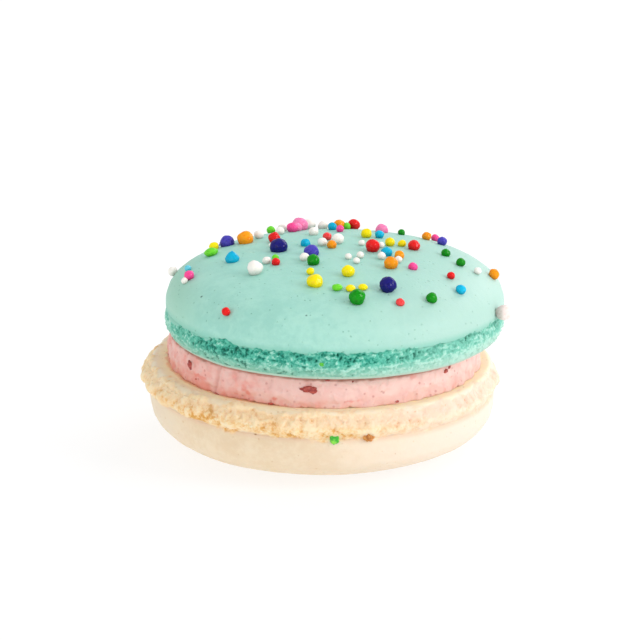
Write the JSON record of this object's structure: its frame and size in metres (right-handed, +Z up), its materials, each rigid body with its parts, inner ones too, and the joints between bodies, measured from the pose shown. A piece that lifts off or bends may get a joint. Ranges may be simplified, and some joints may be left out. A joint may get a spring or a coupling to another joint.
{
  "type": "french macaron",
  "caption": "Round sandwich biscuit: two domed almond-meringue shells with rough feet, joined flat side to flat side by a disc of pink buttercream.",
  "frame": {"origin": "middle of the footprint, on the surface that the macaron stands on", "axes": "+Z up through the stacked shells, -Y towards the front, +X to the right; the top shell sits a little to +X"},
  "size_m": [0.0472, 0.0466, 0.0252],
  "materials": {
    "turquoise_shell": "matt eggshell meringue skin over a deeper turquoise, rough and porous foot",
    "cream_shell": "matt eggshell meringue skin, cream, with a golden, crumbly foot",
    "pink_buttercream": "soft, slightly greasy sheen, pink with darker fruit flecks",
    "sugar_pearls": "glazed sugar balls in several colours",
    "fruit_bits": "dark red, moist dried fruit"
  },
  "bodies": {
    "root": {"bottom_shell": "cream_shell", "filling": "pink_buttercream", "top_shell": "turquoise_shell"}
  },
  "joints": []
}
